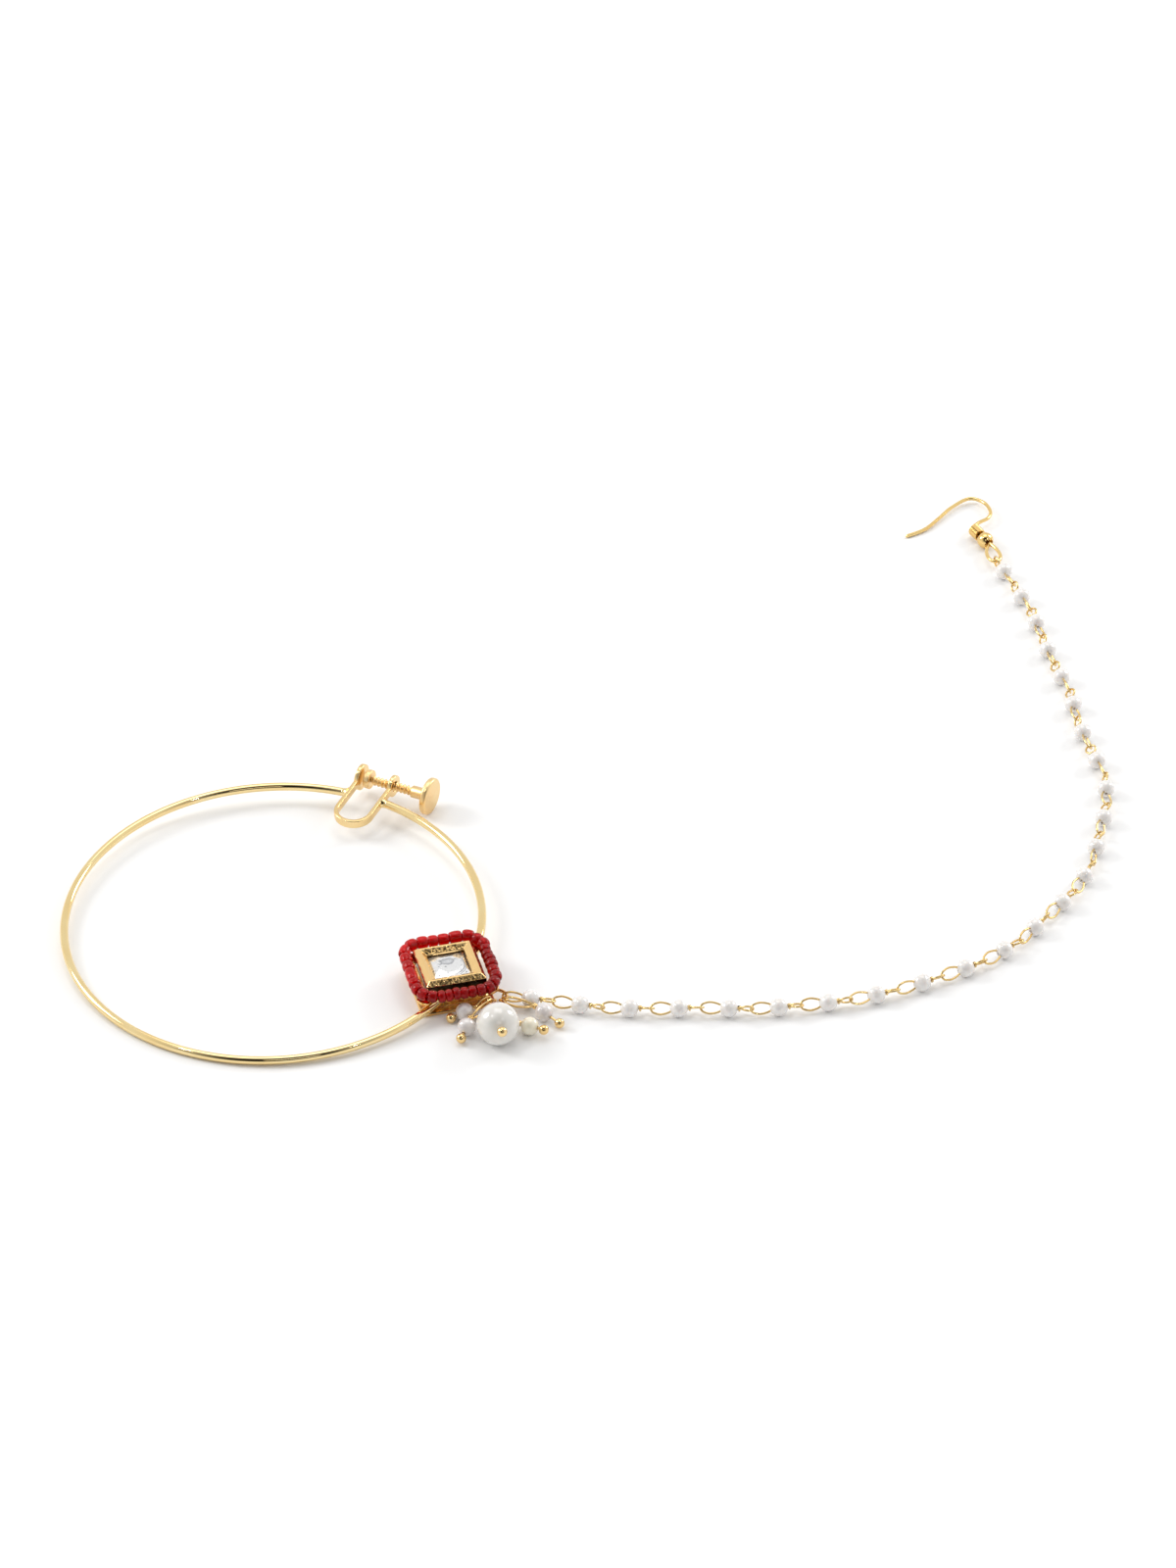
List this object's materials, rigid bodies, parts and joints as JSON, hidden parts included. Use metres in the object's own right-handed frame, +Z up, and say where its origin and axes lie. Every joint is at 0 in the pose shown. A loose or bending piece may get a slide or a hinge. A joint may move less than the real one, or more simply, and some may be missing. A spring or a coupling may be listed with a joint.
{
  "type": "nose pin with pearl chain and ear hook",
  "caption": "Large gold wire hoop with a screw clamp, a square stone motif in a red bead border, pearl drops, and a pearl chain that ends in an ear hook.",
  "frame": {"origin": "middle of the footprint, on the surface that the piece lies on", "axes": "+X from the hoop towards the chain, +Y away from the viewer towards the ear hook, +Z up"},
  "size_m": [0.176, 0.1576, 0.0069],
  "materials": {
    "gold": "mirror polished pale gold plating",
    "satin_gold": "satin pale gold plating",
    "white_pearl": "imitation pearl, soft lustre",
    "cream_pearl": "imitation pearl, soft lustre",
    "red_glass": "deep red glass beads",
    "clear_stone": "clear glass with a silver foil behind it"
  },
  "bodies": {
    "root": {"hoop_frame": "gold", "setting": "gold", "stone": "clear_stone", "seed_bead_border": "red_glass", "upper_left_drop_pearl": "white_pearl", "upper_left_drop_pin": "gold", "lower_left_drop_pearl": "white_pearl", "lower_left_drop_pin": "gold", "large_drop_pearl": "white_pearl", "large_drop_pin": "gold", "cream_drop_pearl": "cream_pearl", "cream_drop_pin": "gold", "right_drop_pearl": "white_pearl", "right_drop_pin": "gold", "pearl_chain": "white_pearl", "ear_hook": "gold", "hook_ball": "gold", "hook_coil": "gold"},
    "pad": {"pad": "satin_gold"},
    "screw": {"screw": "satin_gold"}
  },
  "joints": [
    {"name": "pad_slide", "type": "slide", "parent": "root", "child": "pad", "axis": [0.91, -0.4147, 0], "range_m": [-0.0004, 0.0032]},
    {"name": "screw_turn", "type": "hinge", "parent": "pad", "child": "screw", "pos_m": [-0.03677, -0.00835, 0.00335], "axis": [0.91, -0.4147, 0], "range_deg": [-288, 2304]}
  ],
  "couplings": [
    {"joint": "screw_turn", "follows": "pad_slide", "rad_per_m": 12566}
  ]
}
